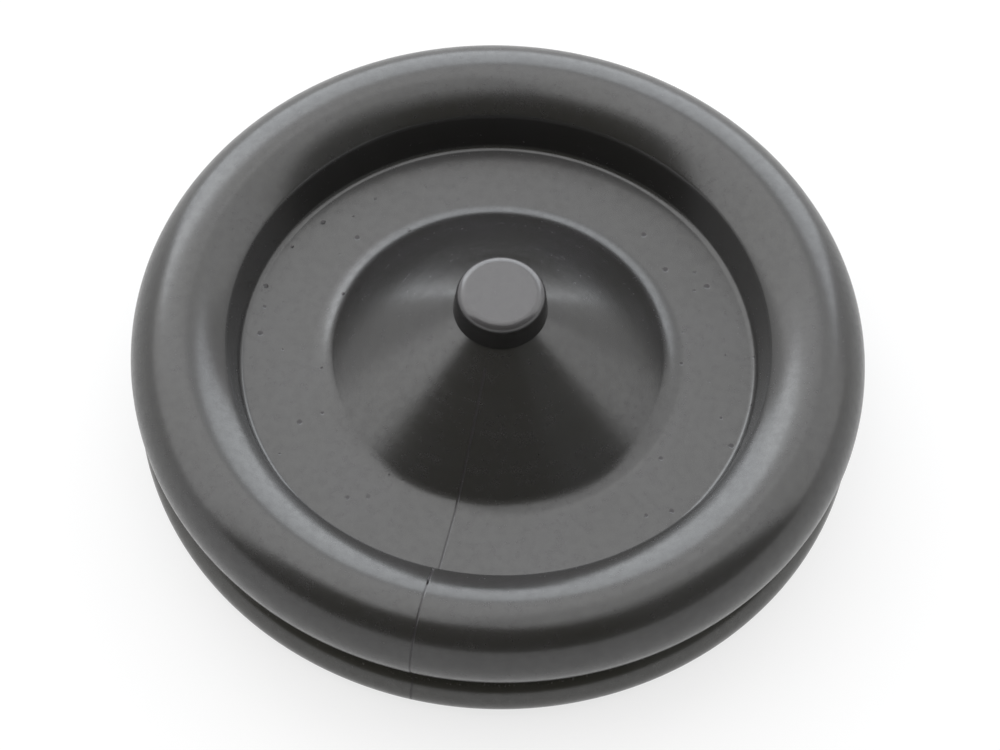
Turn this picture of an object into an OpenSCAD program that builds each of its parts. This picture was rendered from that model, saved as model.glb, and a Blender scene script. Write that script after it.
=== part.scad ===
// Closed rubber grommet for a round panel hole.
// One moulded piece, turned about the Z axis: a fat round bead above the panel, a groove that
// grips the panel's edge, a lower lip with a lead-in, and a thin web across the hole that rises
// into a hollow cone with a solid nipple, which is cut off to pass a cable.
// Millimetres. Z = 0 is the flat underside of the lip.

/* [Bead] */
// Outer diameter of the bead
bead_d = 40; // [39.5:0.5:46]
// Radius of the bead's round section
bead_r = 2.7; // [2.4:0.05:2.85]
// Height of the bead's centre line above the top of the web
bead_rise = 0.45; // [0:0.05:0.8]

/* [Groove] */
// Diameter of the panel hole, which is the floor of the groove
hole_d = 32; // [30:0.5:34]
// Thickness of the panel that the groove takes
groove_w = 0.9; // [0.5:0.1:1.5]
// Depth of the groove's upper face below the top of the web
shoulder_drop = 1.2; // [0.8:0.1:1.6]

/* [Lower lip] */
// Outer diameter of the lower lip
lip_d = 39.9; // [37:0.1:42]
// Height of the lower lip
lip_h = 2.8; // [2.4:0.1:4]
// Radius of the lip's rounded edge
lip_edge_r = 0.95; // [0.6:0.05:1.1]
// Angle of the lead-in below the lip's edge, from the vertical
lead_in = 45; // [30:1:55]

/* [Web and cone] */
// Diameter of the web, from whose edge the bead's inner side rises
web_d = 28.2; // [27:0.1:28.4]
// Thickness of the web and of the cone's wall
wall = 1.5; // [1:0.1:1.8]
// Diameter of the hollow under the web
hollow_d = 28; // [25:0.5:28.5]
// Radius of the hollow's upper corner
hollow_corner_r = 0.8; // [0.3:0.1:1.2]
// Diameter of the cone at its foot, where the cove begins
cone_d = 18.6; // [16.5:0.1:20.5]
// Diameter of the cone where the nipple begins
cone_top_d = 4.9; // [4:0.1:5]
// Height of the cone above the web
cone_h = 4.8; // [3.5:0.1:7]
// Diameter at which the cove ends in the web
cove_d = 21.5; // [19.5:0.1:23]
// Radius of the cove's section
cove_r = 5.4; // [4.5:0.1:9]
// Radius of the rounding between the web's underside and the cone's hollow
hollow_ease_r = 3.7; // [2:0.1:5]
// Radius of the domed end of the cone's hollow
dome_r = 1.2; // [0.8:0.1:1.5]

/* [Nipple] */
// Diameter of the nipple at its foot
nipple_d = 5.1; // [5.05:0.05:6]
// Diameter of the nipple at its flat end
nipple_end_d = 4.75; // [4:0.05:5]
// Height of the nipple
nipple_h = 1.8; // [1.2:0.1:4]
// Radius of the nipple's edge
nipple_edge_r = 0.3; // [0.1:0.05:0.4]

/* [Hidden] */
$fn = 96;
// How far an arc and the straight face that it blends with pass each other, for clean edges
seam = 0.002;

groove_z = lip_h;
shoulder_z = groove_z + groove_w;
web_z = shoulder_z + shoulder_drop;
under_z = web_z - wall;
cone_top_z = web_z + cone_h;
nipple_top_z = cone_top_z + nipple_h;
bead_centre = [bead_d / 2 - bead_r, web_z + bead_rise];
lip_centre = [lip_d / 2 - lip_edge_r, groove_z - lip_edge_r];
cove_centre = [cove_d / 2, web_z + cove_r];
cove_rise = cove_r - sqrt(pow(cove_r, 2) - pow((cove_d - cone_d) / 2, 2));
cone_slope = atan(2 * (cone_h - cove_rise) / (cone_d - cone_top_d));
// Apex of the hollow's cone, one wall inside the outer slope
hollow_apex_z = cone_top_z + cone_top_d / 2 * tan(cone_slope) - wall / cos(cone_slope);
dome_centre = [0, hollow_apex_z - dome_r / cos(cone_slope)];
ease_centre = [(hollow_apex_z - under_z) / tan(cone_slope) + hollow_ease_r * tan(cone_slope / 2),
    under_z + hollow_ease_r];

// Point on a circle, at an angle from the outward direction
function on_circle(centre, r, angle) = centre + r * [cos(angle), sin(angle)];

// Disc whose edge blends two faces that lie a radius from its centre
module rounding(centre, r) {
    translate(centre) circle(r = r + seam);
}

// Neck that carries the bead and the lip, filled across from the underside to the web's top,
// with the bead's straight inner side that rises from the web's edge
module neck_section() {
    side = bead_centre - [web_d / 2, web_z];
    side_slope = atan(side.y / side.x) + asin(min(1, (bead_r - seam) / norm(side)));
    side_top = on_circle(bead_centre, bead_r - seam, 90 + min(side_slope, 85));
    polygon([[0, 0], [bead_centre.x, 0], bead_centre, side_top, [web_d / 2, web_z], [0, web_z]]);
}

// Round section of the bead
module bead_section() {
    translate(bead_centre) circle(r = bead_r);
}

// Lower lip: flat underside, lead-in and rounded edge
module lip_section() {
    lead_top = on_circle(lip_centre, lip_edge_r, -lead_in);
    lead_foot = [lead_top.x - lead_top.y * tan(lead_in), 0];
    rounding(lip_centre, lip_edge_r);
    polygon([[0, 0], lead_foot, lead_top, [lip_centre.x, groove_z], [0, groove_z]]);
}

// Groove that the panel's edge sits in
module groove_section() {
    translate([hole_d / 2, groove_z]) square([bead_d, groove_w]);
}

// Cone on the web, with a shallow cove round its foot
module cone_section() {
    slope_end = cone_d / 2 + (wall + cove_rise) / tan(cone_slope);
    polygon([[0, under_z], [slope_end, under_z], [cone_top_d / 2, cone_top_z], [0, cone_top_z]]);
    difference() {
        translate([0, under_z]) square([cove_d / 2, wall + 2 * cove_rise]);
        rounding(cove_centre, cove_r);
    }
}

// Solid nipple on the cone, with a rounded edge
module nipple_section() {
    taper = atan((nipple_d - nipple_end_d) / 2 / nipple_h);
    edge_centre = [nipple_end_d / 2 - nipple_edge_r * tan(45 - taper / 2), nipple_top_z - nipple_edge_r];
    rounding(edge_centre, nipple_edge_r);
    polygon([[0, under_z], [cone_top_d / 2, under_z], [cone_top_d / 2, cone_top_z], [nipple_d / 2, cone_top_z],
        on_circle(edge_centre, nipple_edge_r, taper), [edge_centre.x, nipple_top_z], [0, nipple_top_z]]);
}

// Hollow under the web and inside the cone, which leaves an even wall
module hollow_section() {
    corner_centre = [hollow_d / 2, under_z] - hollow_corner_r * [1, 1];
    slope_foot = on_circle(ease_centre, hollow_ease_r, 270 - cone_slope);
    slope_end = on_circle(dome_centre, dome_r, 90 - cone_slope);
    difference() {
        polygon([[0, -wall], [hollow_d / 2, -wall], [hollow_d / 2, corner_centre.y], [corner_centre.x, under_z],
            [ease_centre.x, under_z], slope_foot, slope_end, dome_centre]);
        rounding(ease_centre, hollow_ease_r);
    }
    rounding(corner_centre, hollow_corner_r);
    intersection() {
        rounding(dome_centre, dome_r);
        translate(dome_centre - [0, dome_r]) square(3 * dome_r);
    }
}

module grommet() {
    color("dimgray")
        rotate_extrude()
            difference() {
                union() {
                    neck_section();
                    bead_section();
                    lip_section();
                    cone_section();
                    nipple_section();
                }
                groove_section();
                hollow_section();
            }
}

grommet();
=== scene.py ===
import math
from collections import namedtuple

import bpy
from bpy.props import FloatProperty, FloatVectorProperty, IntProperty, PointerProperty
from mathutils import Matrix, Vector


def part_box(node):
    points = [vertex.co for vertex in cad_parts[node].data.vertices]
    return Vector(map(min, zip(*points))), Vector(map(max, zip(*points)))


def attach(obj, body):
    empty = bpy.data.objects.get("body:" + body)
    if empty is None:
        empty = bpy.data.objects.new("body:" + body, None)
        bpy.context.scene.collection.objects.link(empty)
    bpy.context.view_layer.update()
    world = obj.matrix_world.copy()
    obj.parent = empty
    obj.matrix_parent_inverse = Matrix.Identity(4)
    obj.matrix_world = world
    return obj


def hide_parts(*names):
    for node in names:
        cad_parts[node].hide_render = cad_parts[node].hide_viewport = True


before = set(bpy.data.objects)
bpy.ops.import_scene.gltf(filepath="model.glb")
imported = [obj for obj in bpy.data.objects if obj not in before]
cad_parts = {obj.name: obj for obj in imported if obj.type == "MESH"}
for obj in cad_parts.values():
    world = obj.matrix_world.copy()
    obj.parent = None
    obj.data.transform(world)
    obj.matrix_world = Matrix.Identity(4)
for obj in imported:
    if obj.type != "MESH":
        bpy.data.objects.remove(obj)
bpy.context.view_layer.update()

bl_info = {
    "name": "Closed rubber grommet",
    "version": (1, 0, 0),
    "blender": (4, 5, 0),
    "location": "View3D > Sidebar > Grommet",
    "description": "Turned rubber grommet with its moulding seam, on a pale floor",
    "category": "Object",
}

MM = 0.001
CAD_LOW, CAD_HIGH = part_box("grommet")

# Least distance from the axis that is divided by
LEAST_RADIUS = 1e-6
# Vertices closer than this become one
MERGE_DISTANCE = 2e-7

WHITE = (1.0, 1.0, 1.0, 1.0)

# Point that the lamps face, and how far to its right and above it the camera's axis passes
AIM = Vector((0.0, 0.0, 4.9 * MM))
CAMERA_SHIFT = Vector((0.1 * MM, -1.0 * MM, 0.0))

# Half angles of a lamp's spread, its direction about the axis and its rise, in degrees
LAMP_DISTANCE = 0.8
REAR_LAMP = {"spread": (40, 22), "turn": 91, "rise": 25, "colour": (0.93, 0.98, 1.03)}
LEFT_LAMP = {"spread": (36, 34), "turn": 157, "rise": 57}
RIGHT_LAMP = {"spread": (38, 32), "turn": -8, "rise": 54}

# Directions about the axis between which a card stands, in degrees
DARK_CARD = {"start": 199, "end": 311, "colour": (0.075, 0.072, 0.058, 1.0)}
GREY_CARD = {"start": 311, "end": 356, "colour": (0.14, 0.14, 0.13, 1.0)}

# Sockets of a Mix node that mixes colours, where several share a name
COLOUR_UNDER, COLOUR_OVER, COLOUR_MIXED = 6, 7, 2


# ---------------------------------------------------------------- sizes and colours


class GrommetSizes(bpy.types.PropertyGroup):
    """Sizes of the section: near the solid's own, with softer corners and a slightly lower web."""

    bead_d: FloatProperty(
        name="Bead diameter", description="Outer diameter of the bead",
        default=CAD_HIGH[0] - CAD_LOW[0], unit="LENGTH")
    height: FloatProperty(
        name="Height", description="Height from the underside to the nipple's end",
        default=CAD_HIGH[2] - CAD_LOW[2], unit="LENGTH")
    bead_r: FloatProperty(
        name="Bead section", description="Radius of the bead's round section",
        default=2.7 * MM, unit="LENGTH")
    bead_rise: FloatProperty(
        name="Bead rise", description="Height of the bead's centre line above the web",
        default=0.75 * MM, unit="LENGTH")
    flat_r: FloatProperty(
        name="Flatter side", description="Radius of the bead's flatter inner side",
        default=5.4 * MM, unit="LENGTH")
    flat_start: FloatProperty(
        name="Flatter side start", description="Slope at which the bead's inner side becomes flatter",
        default=math.radians(24), subtype="ANGLE")
    flat_end: FloatProperty(
        name="Flatter side end", description="Slope at which the flatter inner side turns down to the web",
        default=math.radians(41), subtype="ANGLE")
    brow_r: FloatProperty(
        name="Brow", description="Radius above the steep side that stands on the web",
        default=0.65 * MM, unit="LENGTH")
    hole_d: FloatProperty(
        name="Panel hole", description="Diameter of the groove's floor",
        default=32.0 * MM, unit="LENGTH")
    groove_w: FloatProperty(
        name="Groove width", description="Thickness of the panel that the groove takes",
        default=0.9 * MM, unit="LENGTH")
    lip_d: FloatProperty(
        name="Lip diameter", description="Outer diameter of the lower lip",
        default=39.3 * MM, unit="LENGTH")
    lip_h: FloatProperty(
        name="Lip height", description="Height of the lower lip",
        default=2.8 * MM, unit="LENGTH")
    lip_edge_r: FloatProperty(
        name="Lip edge", description="Radius of the lip's rounded edge",
        default=1.4 * MM, unit="LENGTH")
    lead_in: FloatProperty(
        name="Lead-in", description="Angle of the lead-in from the vertical",
        default=math.radians(45), subtype="ANGLE")
    wall: FloatProperty(
        name="Wall", description="Thickness of the web and of the cone's wall",
        default=1.5 * MM, unit="LENGTH")
    hollow_d: FloatProperty(
        name="Hollow diameter", description="Diameter of the hollow under the web",
        default=28.0 * MM, unit="LENGTH")
    hollow_corner_r: FloatProperty(
        name="Hollow corner", description="Radius of the hollow's upper corner",
        default=0.8 * MM, unit="LENGTH")
    web_d: FloatProperty(
        name="Web", description="Diameter of the web, where the bead's inner side rises",
        default=28.2 * MM, unit="LENGTH")
    cone_d: FloatProperty(
        name="Cone foot", description="Diameter at which the cone's slope meets the cove at its foot",
        default=18.1 * MM, unit="LENGTH")
    cone_top_d: FloatProperty(
        name="Cone top", description="Diameter of the cone under the nipple",
        default=4.9 * MM, unit="LENGTH")
    cone_h: FloatProperty(
        name="Cone height", description="Height of the cone above the web",
        default=5.1 * MM, unit="LENGTH")
    cove_d: FloatProperty(
        name="Cove", description="Diameter at which the cove at the cone's foot eases into the web",
        default=20.4 * MM, unit="LENGTH")
    cove_r: FloatProperty(
        name="Cove section", description="Radius of the cove at the cone's foot",
        default=2.0 * MM, unit="LENGTH")
    hollow_ease_r: FloatProperty(
        name="Hollow ease", description="Radius between the web's underside and the cone's hollow",
        default=3.7 * MM, unit="LENGTH")
    dome_r: FloatProperty(
        name="Dome", description="Radius of the domed end of the cone's hollow",
        default=1.2 * MM, unit="LENGTH")
    nipple_d: FloatProperty(
        name="Nipple foot", description="Diameter of the nipple at its foot",
        default=5.1 * MM, unit="LENGTH")
    nipple_end_d: FloatProperty(
        name="Nipple end", description="Diameter of the nipple at its flat end",
        default=4.75 * MM, unit="LENGTH")
    nipple_h: FloatProperty(
        name="Nipple height", description="Height of the nipple",
        default=1.8 * MM, unit="LENGTH")
    nipple_edge_r: FloatProperty(
        name="Nipple edge", description="Radius of the nipple's edge",
        default=0.55 * MM, unit="LENGTH")
    web_edge_r: FloatProperty(
        name="Web edge", description="Radius between the web and the bead's inner side",
        default=0.35 * MM, unit="LENGTH")
    soft_r: FloatProperty(
        name="Soft corners", description="Radius of the small moulded corners",
        default=0.15 * MM, unit="LENGTH")
    seam_angle: FloatProperty(
        name="Seam angle", description="Direction of the moulding seam about the axis",
        default=math.radians(259), subtype="ANGLE")
    seam_half_w: FloatProperty(
        name="Seam half width", description="Half the width of the moulding seam's fine groove",
        default=0.07 * MM, unit="LENGTH")
    seam_depth: FloatProperty(
        name="Seam depth", description="Depth of the moulding seam's fine groove",
        default=0.03 * MM, unit="LENGTH")
    steps_round: IntProperty(
        name="Steps round", description="Number of steps round the axis",
        default=360, min=48)


class RubberFinish(bpy.types.PropertyGroup):
    """Colour and gloss of the moulded rubber, with the paler colours painted as light on the nipple's end
    and the lower lip.
    """

    rubber: FloatVectorProperty(
        name="Rubber", description="Colour of the clean rubber",
        subtype="COLOR", size=4, default=(0.0165, 0.0163, 0.0143, 1.0))
    bloom: FloatVectorProperty(
        name="Bloom", description="Colour of the thin grey bloom on the rubber",
        subtype="COLOR", size=4, default=(0.021, 0.0205, 0.021, 1.0))
    dust: FloatVectorProperty(
        name="Dust", description="Colour of the pale dust specks",
        subtype="COLOR", size=4, default=(0.42, 0.42, 0.40, 1.0))
    pit: FloatVectorProperty(
        name="Pit", description="Colour inside the small dull pits",
        subtype="COLOR", size=4, default=(0.035, 0.030, 0.036, 1.0))
    # Painted sheen: the nipple's flat end is given a paler colour that stands in for the light it catches
    painted_end_sheen: FloatVectorProperty(
        name="End painted sheen", description="Paler colour painted on the nipple's end as a sheen",
        subtype="COLOR", size=4, default=(0.066, 0.064, 0.067, 1.0))
    # Painted light: the lower lip is given a paler colour, which lightens it below the bead
    painted_lip_light: FloatVectorProperty(
        name="Lip painted light", description="Paler colour painted on the lower lip as light",
        subtype="COLOR", size=4, default=(0.029, 0.028, 0.023, 1.0))
    roughness: FloatProperty(
        name="Roughness", description="Roughness of the satin surface",
        default=0.24, min=0.0, max=1.0, subtype="FACTOR")
    specular: FloatProperty(
        name="Specular", description="Strength of the satin sheen",
        default=0.8, min=0.0, max=1.0, subtype="FACTOR")


class StudioSettings(bpy.types.PropertyGroup):
    """Camera, lamps, surroundings and floor."""

    camera_elevation: FloatProperty(
        name="Camera elevation", description="Angle of the camera above the floor",
        default=math.radians(58.2), subtype="ANGLE")
    camera_roll: FloatProperty(
        name="Camera roll", description="Turn of the camera about its own axis",
        default=math.radians(2.8), subtype="ANGLE")
    camera_distance: FloatProperty(
        name="Camera distance", description="Distance from the camera to the height it aims at",
        default=0.2457, unit="LENGTH")
    lens: FloatProperty(
        name="Lens", description="Focal length of the camera in millimetres",
        default=162.0, unit="CAMERA")
    rear: FloatProperty(
        name="Rear lamp", description="Power of the soft lamp behind",
        default=6.6, unit="POWER")
    left: FloatProperty(
        name="Left lamp", description="Power of the wide soft lamp on the left",
        default=4.8, unit="POWER")
    right: FloatProperty(
        name="Right lamp", description="Power of the wide soft lamp on the right",
        default=3.1, unit="POWER")
    surround: FloatProperty(
        name="Surround", description="Strength of the white surroundings",
        default=1.0, min=0.0)
    floor: FloatVectorProperty(
        name="Floor", description="Colour of the floor",
        subtype="COLOR", size=4, default=(0.82, 0.82, 0.82, 1.0))
    floor_glow: FloatProperty(
        name="Floor glow",
        description="Share of the floor that shows plain white, which softens the shadow",
        default=0.75, min=0.0, max=1.0, subtype="FACTOR")


# ---------------------------------------------------------------- node trees


class Wire:
    """An output socket that can be used in Python sums."""

    def __init__(self, graph, socket):
        self.graph = graph
        self.socket = socket

    def math(self, operation, *values):
        return self.graph.node("ShaderNodeMath", {"operation": operation}, dict(enumerate(values)))

    def __add__(self, other):
        return self.math("ADD", self, other)

    def __radd__(self, other):
        return self.math("ADD", other, self)

    def __sub__(self, other):
        return self.math("SUBTRACT", self, other)

    def __rsub__(self, other):
        return self.math("SUBTRACT", other, self)

    def __mul__(self, other):
        return self.math("MULTIPLY", self, other)

    def __rmul__(self, other):
        return self.math("MULTIPLY", other, self)

    def __truediv__(self, other):
        return self.math("DIVIDE", self, other)

    def __mod__(self, other):
        return self.math("FLOORED_MODULO", self, other)

    def __lt__(self, other):
        return self.math("LESS_THAN", self, other)

    def __gt__(self, other):
        return self.math("GREATER_THAN", self, other)

    def at_least(self, other):
        return self.math("MAXIMUM", self, other)

    def at_most(self, other):
        return self.math("MINIMUM", self, other)

    def floor(self):
        return self.math("FLOOR", self)

    def size(self):
        return self.math("ABSOLUTE", self)

    def root(self):
        return self.math("SQRT", self)

    def sine(self):
        return self.math("SINE", self)

    def cosine(self):
        return self.math("COSINE", self)

    def other(self, output):
        """Another output of the same node."""
        return Wire(self.graph, self.socket.node.outputs[output])

    def parts(self):
        """The X, Y and Z of a vector."""
        first = self.graph.node("ShaderNodeSeparateXYZ", values={0: self})
        return first, first.other("Y"), first.other("Z")

    def smooth(self, low, high):
        """0 below low, 1 above high, eased between."""
        return self.graph.node(
            "ShaderNodeMapRange", {"interpolation_type": "SMOOTHSTEP"},
            {"Value": self, "From Min": low, "From Max": high})


class Graph:
    """A node tree that is built through one method."""

    def __init__(self, tree):
        self.tree = tree

    def node(self, kind, settings=None, values=None, output=0):
        """Adds a node, sets it, fills or links its sockets, and gives one of its outputs."""
        made = self.tree.nodes.new(kind)
        for name, value in (settings or {}).items():
            setattr(made, name, value)
        for name, value in (values or {}).items():
            if isinstance(value, Wire):
                self.tree.links.new(value.socket, made.inputs[name])
            else:
                made.inputs[name].default_value = value
        if not made.outputs:
            return None
        return Wire(self, made.outputs[output])


# ---------------------------------------------------------------- section of the moulding

Arc = namedtuple("Arc", "centre radius start end seam")


def shifted(centre, distance, angle):
    """Point at a distance from a centre, at an angle in degrees from the outward direction."""
    turn = math.radians(angle)
    return (centre[0] + distance * math.cos(turn), centre[1] + distance * math.sin(turn))


def section(s):
    """Arcs of the section, from the nipple's centre outwards, down and back to the axis inside."""
    shoulder_z = s.lip_h + s.groove_w
    cone_top_z = s.height - s.nipple_h
    web_z = cone_top_z - s.cone_h
    under_z = web_z - s.wall
    soft = s.soft_r
    cove_run = (s.cove_d - s.cone_d) / 2
    cove_turn = math.asin(cove_run / s.cove_r)
    cove_rise = s.cove_r * (1 - math.cos(cove_turn))
    slope = math.atan2(2 * (s.cone_h - cove_rise), s.cone_d - s.cone_top_d)
    slope_deg = math.degrees(slope)
    lead_deg = math.degrees(s.lead_in)

    taper = math.atan2(s.nipple_d - s.nipple_end_d, 2 * s.nipple_h)
    nipple_edge = (s.nipple_end_d / 2 - s.nipple_edge_r * math.tan(math.pi / 4 - taper / 2),
                   s.height - s.nipple_edge_r)
    nipple_foot = (s.nipple_d / 2 - soft / 2, cone_top_z + soft / 2)
    neck = (s.cone_top_d / 2 - soft * math.sin(slope) / 3, cone_top_z)

    cove = (s.cove_d / 2, web_z + s.cove_r)
    bead = (s.bead_d / 2 - s.bead_r, web_z + s.bead_rise)

    flat_start, flat_end = 90 + math.degrees(s.flat_start), 90 + math.degrees(s.flat_end)
    flat = shifted(bead, s.bead_r - s.flat_r, flat_start)
    brow = shifted(flat, s.flat_r - s.brow_r, flat_end)
    side_run, side_rise = brow[0] - s.web_d / 2, brow[1] - web_z
    side_slope = math.atan2(side_rise, side_run)
    side_slope += math.asin(s.brow_r / math.hypot(side_run, side_rise))
    side_deg = math.degrees(side_slope)
    web_edge = (s.web_d / 2 - s.web_edge_r * math.tan(side_slope / 2), web_z + s.web_edge_r)
    outer_drop = bead[1] - shoulder_z - soft
    outer = (bead[0] + math.sqrt((s.bead_r - soft) ** 2 - outer_drop ** 2), shoulder_z + soft)
    outer_deg = -math.degrees(math.atan2(outer_drop, outer[0] - bead[0]))

    lip = (s.lip_d / 2 - s.lip_edge_r, s.lip_h - s.lip_edge_r)
    lead_top = (lip[0] + s.lip_edge_r * math.cos(s.lead_in),
                lip[1] - s.lip_edge_r * math.sin(s.lead_in))
    lead_foot = lead_top[0] - lead_top[1] * math.tan(s.lead_in)
    toe_r = 2 * soft
    toe = (lead_foot - toe_r * math.tan((math.pi / 2 - s.lead_in) / 2), toe_r)

    apex_z = cone_top_z + s.cone_top_d / 2 * math.tan(slope) - s.wall / math.cos(slope)
    dome = (0.0, apex_z - s.dome_r / math.cos(slope))
    ease = ((apex_z - under_z) / math.tan(slope) + s.hollow_ease_r * math.tan(slope / 2),
            under_z + s.hollow_ease_r)
    corner = (s.hollow_d / 2 - s.hollow_corner_r, under_z - s.hollow_corner_r)
    return [
        Arc((0.0, s.height), 0.0, 90, 90, 0),
        Arc(nipple_edge, s.nipple_edge_r, 90, math.degrees(taper), 0),
        Arc(nipple_foot, soft / 2, math.degrees(taper), -90, 0),
        Arc(neck, 0.0, 0, 0, 0),
        Arc(cove, s.cove_r, 270 - math.degrees(cove_turn), 270, 1),
        Arc(web_edge, s.web_edge_r, -90, side_deg - 90, 1),
        Arc(brow, s.brow_r, 90 + side_deg, flat_end, 1),
        Arc(flat, s.flat_r, flat_end, flat_start, 1),
        Arc(bead, s.bead_r, flat_start, outer_deg, 1),
        Arc(outer, soft, outer_deg, -90, 0),
        Arc((s.hole_d / 2 + soft, shoulder_z - soft), soft, 90, 180, 0),
        Arc((s.hole_d / 2 + soft, s.lip_h + soft), soft, 180, 270, 0),
        Arc(lip, s.lip_edge_r, 90, -lead_deg, 0),
        Arc(toe, toe_r, -lead_deg, -90, 0),
        Arc((s.hollow_d / 2 + soft, soft), soft, 270, 180, 0),
        Arc(corner, s.hollow_corner_r, 0, 90, 0),
        Arc(ease, s.hollow_ease_r, 270, 270 - slope_deg, 0),
        Arc(dome, s.dome_r, 90 - slope_deg, 90, 0),
    ]


def arc_points(arc):
    """Points along an arc, close enough together to look round."""
    most_turn, most_step = 8.0, 0.3 * MM
    turn = abs(arc.end - arc.start)
    steps = math.ceil(max(turn / most_turn, arc.radius * math.radians(turn) / most_step))
    angles = [arc.start + (arc.end - arc.start) * i / max(steps, 1) for i in range(steps + 1)]
    return [(arc.centre[0] + arc.radius * math.cos(math.radians(angle)),
             arc.centre[1] + arc.radius * math.sin(math.radians(angle)), arc.seam) for angle in angles]


def straight_points(first, last):
    """Points inside a straight run, with one close to each end so that its shading stays flat."""
    guard, most_step = 0.04 * MM, 0.6 * MM
    length = math.dist(first[:2], last[:2])
    if length < 4 * guard:
        return []
    steps = math.ceil((length - 2 * guard) / most_step)
    spots = [(guard + (length - 2 * guard) * i / steps) / length for i in range(steps + 1)]
    return [tuple(a + (b - a) * spot for a, b in zip(first, last)) for spot in spots]


def section_points(sizes):
    """The whole section as (radius, height, seam strength)."""
    points = []
    for arc in section(sizes):
        curve = arc_points(arc)
        if points:
            points += straight_points(points[-1], curve[0])
        points += curve
    return points


def section_mesh(sizes):
    """A chain of vertices with its outward direction and the seam's strength on each."""
    points = section_points(sizes)
    mesh = bpy.data.meshes.new("section")
    mesh.from_pydata([(r, 0.0, z) for r, z, seam in points],
                     [(i, i + 1) for i in range(len(points) - 1)], [])
    mesh.attributes.new("outward", "FLOAT_VECTOR", "POINT")
    mesh.attributes.new("seam", "FLOAT", "POINT")
    outward, seam = mesh.attributes["outward"], mesh.attributes["seam"]
    for i, point in enumerate(points):
        before, after = points[max(i - 1, 0)], points[min(i + 1, len(points) - 1)]
        along = Vector((after[0] - before[0], after[1] - before[1])).normalized()
        outward.data[i].vector = (-along.y, 0.0, along.x)
        seam.data[i].value = point[2]
    return mesh


# ---------------------------------------------------------------- turning tree


def turning_tree(rows):
    """Turns the section about Z, and sinks a fine seam along it in one direction."""
    tree = bpy.data.node_groups.new("Turned moulding", "GeometryNodeTree")
    tree.is_modifier = True
    face = tree.interface
    face.new_socket(name="Section", in_out="INPUT", socket_type="NodeSocketGeometry")
    for name, kind in (("Steps round", "NodeSocketInt"), ("Seam angle", "NodeSocketFloat"),
                       ("Seam half width", "NodeSocketFloat"), ("Seam depth", "NodeSocketFloat"),
                       ("Material", "NodeSocketMaterial")):
        face.new_socket(name=name, in_out="INPUT", socket_type=kind)
    face.new_socket(name="Moulding", in_out="OUTPUT", socket_type="NodeSocketGeometry")

    graph = Graph(tree)
    given = graph.node("NodeGroupInput").socket.node
    take = {socket.name: Wire(graph, socket) for socket in given.outputs if socket.name}

    # Fine columns come first: the seam's middle, and on each side one halfway to its edge, one at its
    # edge and one past it. Even columns then fill the turn.
    each_side = 3
    fine = 2 * each_side + 1
    columns = take["Steps round"] + fine
    grid = graph.node("GeometryNodeMeshGrid", values={
        "Size X": 1.0, "Size Y": 1.0, "Vertices X": columns, "Vertices Y": rows})
    index = graph.node("GeometryNodeInputIndex")
    row = index % rows
    column = (index / rows + 0.5 / rows).floor()

    def sampled(kind, value):
        return graph.node("GeometryNodeSampleIndex", {"data_type": kind, "domain": "POINT"},
                          {"Geometry": take["Section"], "Value": value, "Index": row})

    def named(kind, name):
        return graph.node("GeometryNodeInputNamedAttribute", {"data_type": kind}, {"Name": name})

    radius, _, height = sampled("FLOAT_VECTOR", graph.node("GeometryNodeInputPosition")).parts()
    out_r, _, out_z = sampled("FLOAT_VECTOR", named("FLOAT_VECTOR", "outward")).parts()
    strength = sampled("FLOAT", named("FLOAT", "seam"))

    # Near the axis the fine columns keep within this angle, in radians, on each side of the seam
    widest = 0.12
    offset = (column - each_side) * take["Seam half width"] * 0.5
    half_band = take["Seam half width"] * (0.5 * each_side)
    reach = (half_band / radius.at_least(LEAST_RADIUS)).at_most(widest)
    near = offset / half_band * reach
    share = (column - (fine - 1)) / take["Steps round"]
    far = reach + share * (2 * math.pi - 2 * reach)
    is_far = column > (fine - 0.5)
    angle = take["Seam angle"] + near * (1 - is_far) + far * is_far

    depth = (1 - (offset / take["Seam half width"]).size()).at_least(0) * (1 - is_far)
    sunk = depth * strength * take["Seam depth"]
    place_r = radius - out_r * sunk
    place = graph.node("ShaderNodeCombineXYZ", values={
        "X": place_r * angle.cosine(), "Y": place_r * angle.sine(), "Z": height - out_z * sunk})

    turned = graph.node("GeometryNodeSetPosition", values={"Geometry": grid, "Position": place})
    closed = graph.node("GeometryNodeMergeByDistance", values={
        "Geometry": turned, "Distance": MERGE_DISTANCE})
    outside = graph.node("GeometryNodeFlipFaces", values={"Mesh": closed})
    smooth = graph.node("GeometryNodeSetShadeSmooth", values={"Geometry": outside, "Shade Smooth": True})
    whole = graph.node("GeometryNodeRealizeInstances", values={"Geometry": smooth})
    finished = graph.node("GeometryNodeSetMaterial", values={
        "Geometry": whole, "Material": take["Material"]})
    graph.node("NodeGroupOutput", values={"Moulding": finished})
    return tree


def run_tree(base, tree, inputs, name):
    """Runs a tree on a mesh and gives the result as a plain object at the origin."""
    holder = bpy.data.objects.new("holder", base)
    bpy.context.collection.objects.link(holder)
    modifier = holder.modifiers.new("Turn", "NODES")
    modifier.node_group = tree
    identifiers = {item.name: item.identifier for item in tree.interface.items_tree}
    for label, value in inputs.items():
        modifier[identifiers[label]] = value
    evaluated = holder.evaluated_get(bpy.context.evaluated_depsgraph_get())
    mesh = bpy.data.meshes.new_from_object(evaluated)
    mesh.name = name
    bpy.data.objects.remove(holder)
    piece = bpy.data.objects.new(name, mesh)
    bpy.context.collection.objects.link(piece)
    return piece


# ---------------------------------------------------------------- rubber


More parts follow.
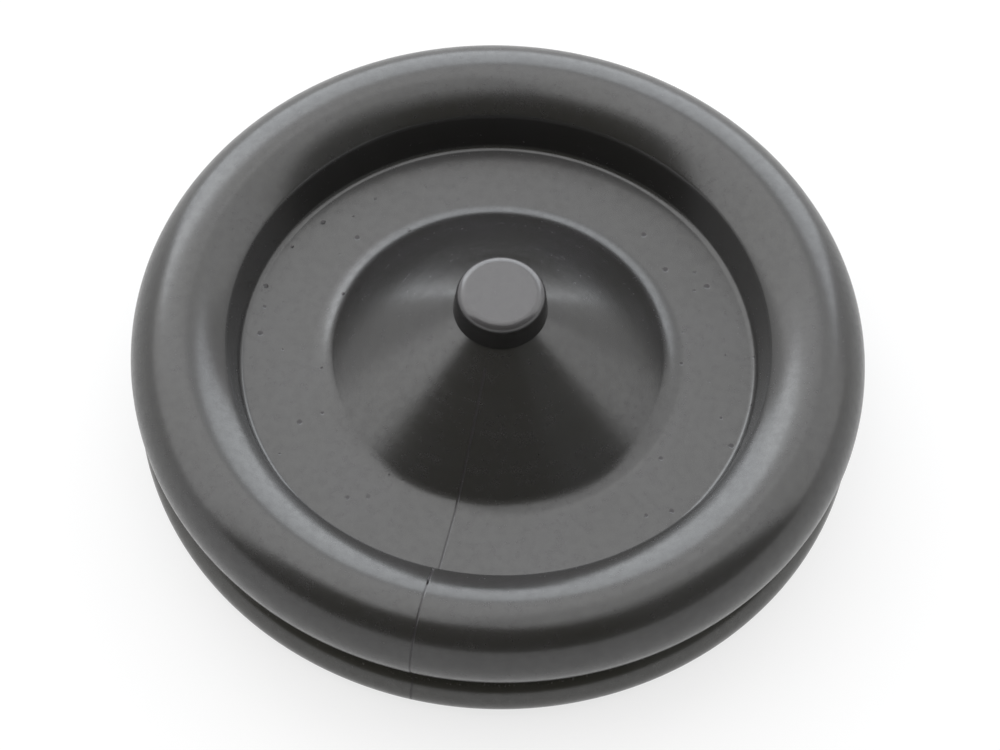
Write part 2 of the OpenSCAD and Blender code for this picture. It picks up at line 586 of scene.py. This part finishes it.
def rubber_material(finish, sizes):
    """Dark satin rubber with a thin bloom, fine grain, faint rings, dull pits and a few dust specks, with
    painted sheen on the nipple's end and painted light on the lower lip.
    """
    material = bpy.data.materials.new("moulded_rubber")
    material.use_nodes = True
    tree = material.node_tree
    tree.nodes.clear()
    graph = Graph(tree)
    place = graph.node("ShaderNodeTexCoord", output="Object")

    def noise(size, detail):
        return graph.node("ShaderNodeTexNoise", {"noise_dimensions": "3D"}, {
            "Vector": place, "Scale": 1 / size, "Detail": detail, "Roughness": 0.55})

    def specks(cell, radius, share, shift):
        """Round marks up to a radius, with a wavy outline, in a share of the cells."""
        wave_size, wave_depth, smallest = 0.2 * MM, 0.12 * MM, 0.4
        moved = graph.node("ShaderNodeVectorMath", {"operation": "ADD"}, {
            0: place, 1: (shift, -shift, shift)})
        waves = graph.node("ShaderNodeTexNoise", values={
            "Vector": place, "Scale": 1 / wave_size}, output="Color")
        wavy = graph.node("ShaderNodeVectorMath", {"operation": "MULTIPLY_ADD"}, {
            0: waves, 1: (wave_depth,) * 3, 2: moved})
        distance = graph.node("ShaderNodeTexVoronoi", {"feature": "F1"}, {
            "Vector": wavy, "Scale": 1 / cell})
        chance = graph.node("ShaderNodeSeparateColor", values={0: distance.other("Color")})
        size = chance.other("Green") * (1 - smallest) + smallest
        edge = size * (radius / cell)
        return (1 - (distance / edge).smooth(0.5, 1.1)) * (chance < share)

    east, north, height = place.parts()
    radius = (east * east + north * north).root()
    side = east.size() / radius.at_least(LEAST_RADIUS)
    web_z = sizes.height - sizes.nipple_h - sizes.cone_h
    on_web = (radius > sizes.cone_d / 2) * (radius < sizes.web_d / 2) * (height < web_z + 0.3 * MM)
    # Share of the painted light on the lower lip, fading out just above it
    lip_light_share = 1 - height.smooth(sizes.lip_h, sizes.lip_h + 0.6 * MM)
    along = east * math.cos(sizes.seam_angle) + north * math.sin(sizes.seam_angle)
    across = (east * math.sin(sizes.seam_angle) - north * math.cos(sizes.seam_angle)).size()
    on_seam = 1 - across.smooth(0.3 * sizes.seam_half_w, 1.5 * sizes.seam_half_w)
    seam = on_seam * (along > 2 * sizes.nipple_d / 3)
    # Share of the painted sheen on the nipple's end, over its top half millimetre
    end_sheen_share = height.smooth(sizes.height - 0.5 * MM, sizes.height - 0.1 * MM)

    bloom = noise(size=5.0 * MM, detail=3).smooth(0.35, 0.7)
    grain = noise(size=0.09 * MM, detail=2)
    mottle = noise(size=0.5 * MM, detail=3)
    ripple = noise(size=2.2 * MM, detail=2)
    ring_size, fineness = 1.8 * MM, 4
    ring_place = graph.node("ShaderNodeCombineXYZ", values={
        "X": radius * fineness + east * 0.05, "Y": height * fineness + north * 0.05, "Z": east * 0.03})
    rings = graph.node("ShaderNodeTexNoise", values={
        "Vector": ring_place, "Scale": 1 / ring_size, "Detail": 1})
    pits = specks(cell=1.1 * MM, radius=0.2 * MM, share=0.9, shift=0.0) * on_web * side.smooth(0.4, 0.7)
    pits = pits.at_least(specks(cell=1.1 * MM, radius=0.09 * MM, share=0.04, shift=5.1 * MM))
    dust = specks(cell=1.7 * MM, radius=0.07 * MM, share=0.035, shift=3.3 * MM)

    def mixed(share, under, over):
        """Colour that goes from the one under to the one over as the share grows."""
        return graph.node("ShaderNodeMix", {"data_type": "RGBA"}, {
            "Factor": share, COLOUR_UNDER: under, COLOUR_OVER: over}, output=COLOUR_MIXED)

    # In these sums, the number beside a pattern is its weight
    worn = mottle.smooth(0.35, 0.7) * 0.1 + grain.smooth(0.35, 0.65) * 0.07
    base = mixed(bloom * 0.5 + rings * 0.4, tuple(finish.rubber), tuple(finish.bloom))
    # Painted sheen: the nipple's end is mixed towards a paler colour
    with_end_sheen = mixed(end_sheen_share * (mottle * 0.4 + 0.6), base, tuple(finish.painted_end_sheen))
    # Painted light: the lower lip is mixed towards a paler colour
    with_lip_light = mixed(lip_light_share * (mottle * 0.3 + 0.7), with_end_sheen, tuple(finish.painted_lip_light))
    dusty = mixed(dust * 0.85, with_lip_light, tuple(finish.dust))
    uneven = (grain - 0.5) * 0.1 + (mottle - 0.5) * 0.08 + (rings - 0.5) * 0.08
    rough = finish.roughness + uneven + dust * 0.4

    relief = grain * 0.35 + mottle * 0.5 + ripple * 1.2 - pits * 2.5 + dust * 2.0
    bump = graph.node("ShaderNodeBump", values={
        "Strength": 0.5, "Distance": 0.012 * MM, "Height": relief})

    satin = graph.node("ShaderNodeBsdfPrincipled", values={
        "IOR": 1.52, "Specular IOR Level": finish.specular,
        "Base Color": dusty, "Roughness": rough, "Normal": bump})
    dull = graph.node("ShaderNodeBsdfPrincipled", values={
        "Base Color": tuple(finish.pit), "Roughness": 0.9, "Specular IOR Level": 0.1})
    dulled = (pits * 0.55).at_least(seam * 0.45).at_least(worn)
    surface = graph.node("ShaderNodeMixShader", values={0: dulled, 1: satin, 2: dull})
    graph.node("ShaderNodeOutputMaterial", values={"Surface": surface})
    return material


def plain_material(name, colour, roughness):
    material = bpy.data.materials.new(name)
    material.use_nodes = True
    shader = material.node_tree.nodes["Principled BSDF"]
    shader.inputs["Base Color"].default_value = colour
    shader.inputs["Roughness"].default_value = roughness
    shader.inputs["Specular IOR Level"].default_value = 0.0
    return material


# ---------------------------------------------------------------- stage


def lamp(name, power, spread, turn, rise, colour=WHITE[:3]):
    """Soft lamp that faces the aim, with the half angles that it spreads over as seen from there."""
    light = bpy.data.lights.new(name, "AREA")
    light.shape = "RECTANGLE"
    light.size, light.size_y = (2 * LAMP_DISTANCE * math.tan(math.radians(half)) for half in spread)
    light.energy = power
    light.color = colour
    turn, rise = math.radians(turn), math.radians(rise)
    out = Vector((math.cos(rise) * math.cos(turn), math.cos(rise) * math.sin(turn), math.sin(rise)))
    stand = bpy.data.objects.new(name, light)
    stand.location = AIM + out * LAMP_DISTANCE
    stand.rotation_euler = out.to_track_quat("Z", "Y").to_euler()
    stand.visible_camera = False
    bpy.context.collection.objects.link(stand)


def stage_mesh(name, vertices, faces, material):
    mesh = bpy.data.meshes.new(name)
    mesh.from_pydata(vertices, [], faces)
    mesh.materials.append(material)
    piece = bpy.data.objects.new(name, mesh)
    bpy.context.collection.objects.link(piece)
    return piece


def floor_material(colour, glow):
    """Pale floor that the camera and reflections see partly as plain white, so its shadow stays soft."""
    material = plain_material("pale_floor", colour, roughness=0.7)
    tree = material.node_tree
    graph = Graph(tree)
    path = graph.node("ShaderNodeLightPath")
    seen = sum(path.other(kind) for kind in ("Is Camera Ray", "Is Glossy Ray", "Is Transmission Ray"))
    pale = Wire(graph, tree.nodes["Principled BSDF"].outputs[0])
    white = graph.node("ShaderNodeEmission", values={"Color": WHITE, "Strength": 1.0})
    mixed = graph.node("ShaderNodeMixShader", values={0: seen.at_most(1.0) * glow, 1: pale, 2: white})
    tree.links.new(mixed.socket, tree.nodes["Material Output"].inputs["Surface"])
    return material


def make_floor(colour, glow):
    reach, level = 2.6, -0.02 * MM
    corners = [(reach * x, reach * y, level) for x, y in ((-1, -1), (1, -1), (1, 1), (-1, 1))]
    stage_mesh("floor", corners, [(0, 1, 2, 3)], floor_material(colour, glow))


def make_card(name, start, end, colour):
    """Upright curved card that the camera doesn't see, which darkens what the rubber reflects."""
    radius, low, high, steps = 0.42, 0.10, 1.10, 12
    angles = [math.radians(start + (end - start) * i / steps) for i in range(steps + 1)]
    vertices = [(radius * math.cos(a), radius * math.sin(a), z) for z in (low, high) for a in angles]
    faces = [(i, i + 1, i + steps + 2, i + steps + 1) for i in range(steps)]
    card = stage_mesh(name, vertices, faces, plain_material(name, colour, roughness=0.9))
    card.visible_camera = False


def make_camera(studio):
    """Camera in front of and above the web, turned a little about its own axis."""
    lens = bpy.data.cameras.new("camera")
    lens.lens = studio.lens
    lens.sensor_width = 36.0
    lens.clip_start = 0.01
    camera = bpy.data.objects.new("camera", lens)
    tilt = studio.camera_elevation
    back = Vector((0.0, -math.cos(tilt), math.sin(tilt)))
    turn = back.to_track_quat("Z", "Y").to_matrix() @ Matrix.Rotation(studio.camera_roll, 3, "Z")
    stand = AIM + back * studio.camera_distance + turn @ CAMERA_SHIFT
    camera.matrix_world = Matrix.Translation(stand) @ turn.to_4x4()
    bpy.context.collection.objects.link(camera)
    bpy.context.scene.camera = camera


# ---------------------------------------------------------------- operators


class OBJECT_OT_grommet_body(bpy.types.Operator):
    """Make the turned rubber body"""

    bl_idname = "object.grommet_body"
    bl_label = "Make rubber body"

    def execute(self, context):
        sizes = context.scene.grommet_sizes
        base = section_mesh(sizes)
        tree = turning_tree(len(base.vertices))
        body = run_tree(base, tree, {
            "Steps round": sizes.steps_round, "Seam angle": sizes.seam_angle,
            "Seam half width": sizes.seam_half_w, "Seam depth": sizes.seam_depth,
            "Material": rubber_material(context.scene.grommet_finish, sizes)}, "rubber_body")
        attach(body, "root")
        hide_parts("grommet")
        return {"FINISHED"}


class OBJECT_OT_grommet_stage(bpy.types.Operator):
    """Make the floor, the lamps, the surroundings and the camera"""

    bl_idname = "object.grommet_stage"
    bl_label = "Make stage"

    def execute(self, context):
        studio = context.scene.grommet_studio
        make_floor(tuple(studio.floor), studio.floor_glow)
        make_card("dark_card", **DARK_CARD)
        make_card("grey_card", **GREY_CARD)
        lamp("rear_lamp", studio.rear, **REAR_LAMP)
        lamp("left_lamp", studio.left, **LEFT_LAMP)
        lamp("right_lamp", studio.right, **RIGHT_LAMP)
        make_camera(studio)
        world = bpy.data.worlds.new("white_surround")
        world.use_nodes = True
        background = world.node_tree.nodes["Background"]
        background.inputs["Color"].default_value = WHITE
        background.inputs["Strength"].default_value = studio.surround
        context.scene.world = world
        context.scene.view_settings.view_transform = "Standard"
        return {"FINISHED"}


class VIEW3D_PT_grommet(bpy.types.Panel):
    """Sizes, finish and stage of the grommet"""

    bl_label = "Grommet"
    bl_space_type = "VIEW_3D"
    bl_region_type = "UI"
    bl_category = "Grommet"

    def draw(self, context):
        layout = self.layout
        scene = context.scene
        for group in (scene.grommet_sizes, scene.grommet_finish, scene.grommet_studio):
            box = layout.box()
            for name in group.bl_rna.properties.keys():
                if name not in ("rna_type", "name"):
                    box.prop(group, name)
        for operator in OPERATORS:
            layout.operator(operator.bl_idname)


GROUPS = (GrommetSizes, RubberFinish, StudioSettings)
OPERATORS = (OBJECT_OT_grommet_body, OBJECT_OT_grommet_stage)
CLASSES = GROUPS + OPERATORS + (VIEW3D_PT_grommet,)


def register():
    for kind in CLASSES:
        bpy.utils.register_class(kind)
    bpy.types.Scene.grommet_sizes = PointerProperty(type=GrommetSizes)
    bpy.types.Scene.grommet_finish = PointerProperty(type=RubberFinish)
    bpy.types.Scene.grommet_studio = PointerProperty(type=StudioSettings)


def unregister():
    del bpy.types.Scene.grommet_studio
    del bpy.types.Scene.grommet_finish
    del bpy.types.Scene.grommet_sizes
    for kind in reversed(CLASSES):
        bpy.utils.unregister_class(kind)


def main():
    register()
    bpy.ops.object.grommet_body()
    bpy.ops.object.grommet_stage()


if __name__ == "__main__":
    main()
